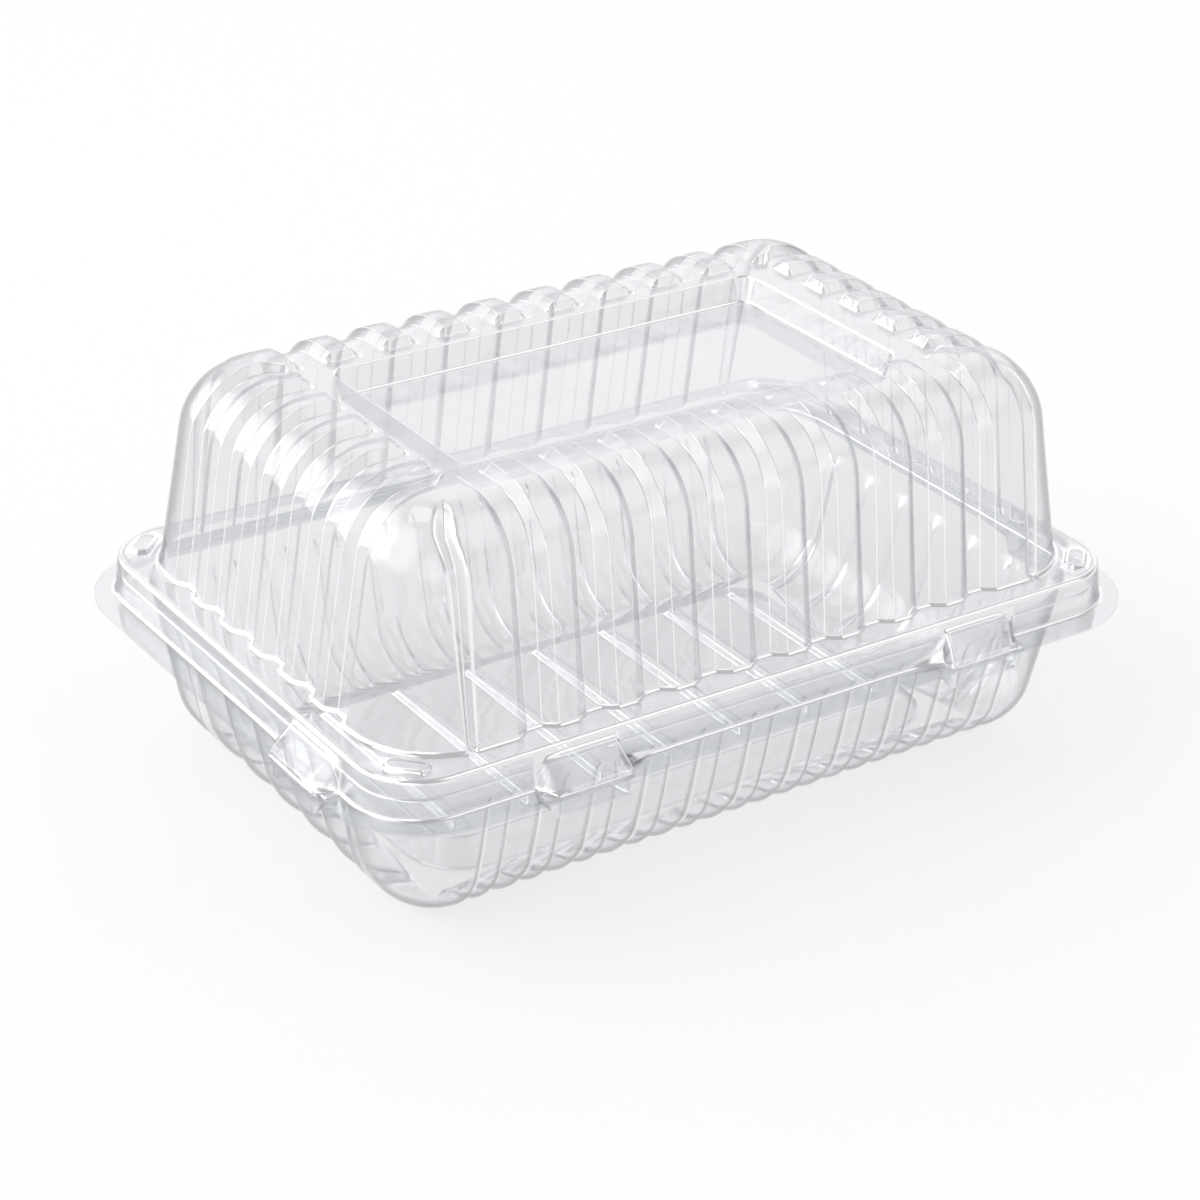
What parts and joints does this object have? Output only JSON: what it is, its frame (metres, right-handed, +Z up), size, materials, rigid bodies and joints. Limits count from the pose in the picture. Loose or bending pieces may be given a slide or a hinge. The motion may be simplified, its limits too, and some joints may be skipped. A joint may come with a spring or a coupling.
{
  "type": "plastic clamshell pack",
  "caption": "Clear hinged food pack with a ribbed domed lid, a sunken window in its top, a press-on lip with clips, and a fluted tray with a raised ribbed floor.",
  "frame": {"origin": "on the table under the middle of the closed pack", "axes": "+X along the long side, +Y from the front to the hinge, +Z up"},
  "size_m": [0.2, 0.14, 0.09],
  "materials": {
    "clear_sheet": "smooth clear thermoformed sheet"
  },
  "bodies": {
    "tray": {"tray": "clear_sheet"},
    "lid": {"lid": "clear_sheet"}
  },
  "joints": [
    {"name": "lid_hinge", "type": "hinge", "parent": "tray", "child": "lid", "pos_m": [0, 0.07, 0.034], "axis": [-1, 0, 0], "range_deg": [0, 150]}
  ]
}
